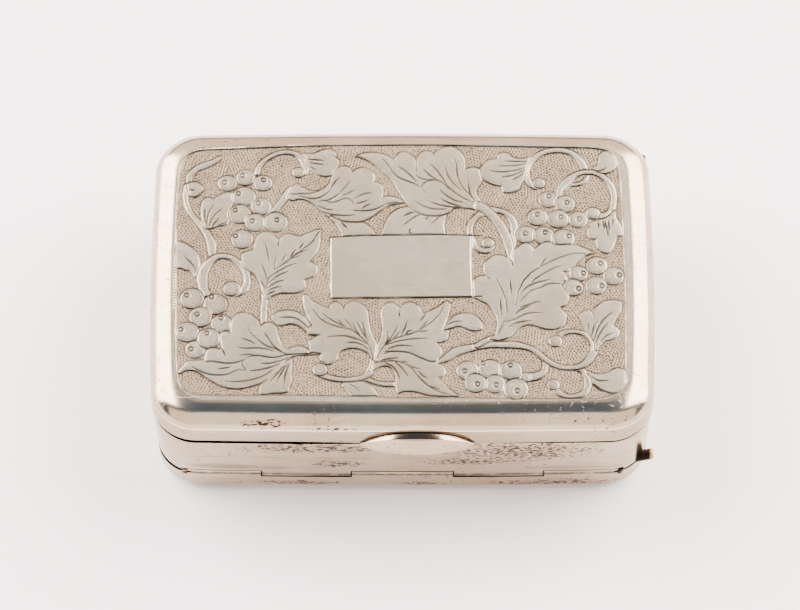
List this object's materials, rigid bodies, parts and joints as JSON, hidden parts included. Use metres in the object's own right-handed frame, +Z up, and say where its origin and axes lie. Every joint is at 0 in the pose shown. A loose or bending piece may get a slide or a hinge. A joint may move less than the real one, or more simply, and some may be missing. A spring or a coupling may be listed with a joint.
{
  "type": "vinaigrette box",
  "caption": "Small vinaigrette box in engraved silver: a hinged lid over a pierced grille and sponge, and a hinged base lid over a shallow compartment.",
  "frame": {"origin": "middle of the flat underside of the base lid", "axes": "+X to the right along the long side, +Y to the back where the top lid is hinged, +Z up"},
  "size_m": [0.042, 0.0305, 0.0124],
  "materials": {
    "silver": "worn, softly polished silver with light tarnish",
    "silver_gilt": "gilt silver, softly polished",
    "pin_brass": "dull, darkened",
    "sponge": "matt, dry natural sponge"
  },
  "bodies": {
    "case": {"body_band": "silver", "upper_liner": "silver_gilt", "partition_plate": "silver_gilt", "lower_bezel": "silver_gilt", "grille_ledge": "silver_gilt", "lid_hinge_body_knuckle_1": "silver", "lid_hinge_body_knuckle_2": "silver", "base_hinge_body_knuckle_1": "silver", "base_hinge_body_knuckle_2": "silver", "lid_hinge_pin": "pin_brass", "base_hinge_pin": "pin_brass", "grille_hinge_liner_knuckle_1": "silver_gilt", "grille_hinge_liner_knuckle_2": "silver_gilt", "grille_hinge_pin": "pin_brass", "sponge": "sponge"},
    "lid": {"lid_shell": "silver", "lid_thumbpiece": "silver", "lid_hinge_lid_knuckle_1": "silver", "lid_hinge_lid_knuckle_2": "silver", "lid_hinge_lid_knuckle_3": "silver"},
    "grille": {"grille_plate": "silver_gilt", "grille_lift_tab": "silver_gilt", "grille_hinge_knuckle": "silver_gilt"},
    "base_lid": {"base_lid_shell": "silver", "base_lid_lift": "silver", "base_hinge_base_lid_knuckle_1": "silver", "base_hinge_base_lid_knuckle_2": "silver", "base_hinge_base_lid_knuckle_3": "silver"}
  },
  "joints": [
    {"name": "lid_hinge", "type": "hinge", "parent": "case", "child": "lid", "pos_m": [0, 0.014, 0.00875], "axis": [-1, 0, 0], "range_deg": [0, 95]},
    {"name": "grille_hinge", "type": "hinge", "parent": "case", "child": "grille", "pos_m": [0, 0.01305, 0.00802], "axis": [-1, 0, 0], "range_deg": [0, 88]},
    {"name": "base_lid_hinge", "type": "hinge", "parent": "case", "child": "base_lid", "pos_m": [0, -0.01365, 0.0031], "axis": [-1, 0, 0], "range_deg": [0, 95]}
  ],
  "couplings": [
    {"joint": "grille_hinge", "follows": "lid_hinge", "ratio": 0.9}
  ]
}
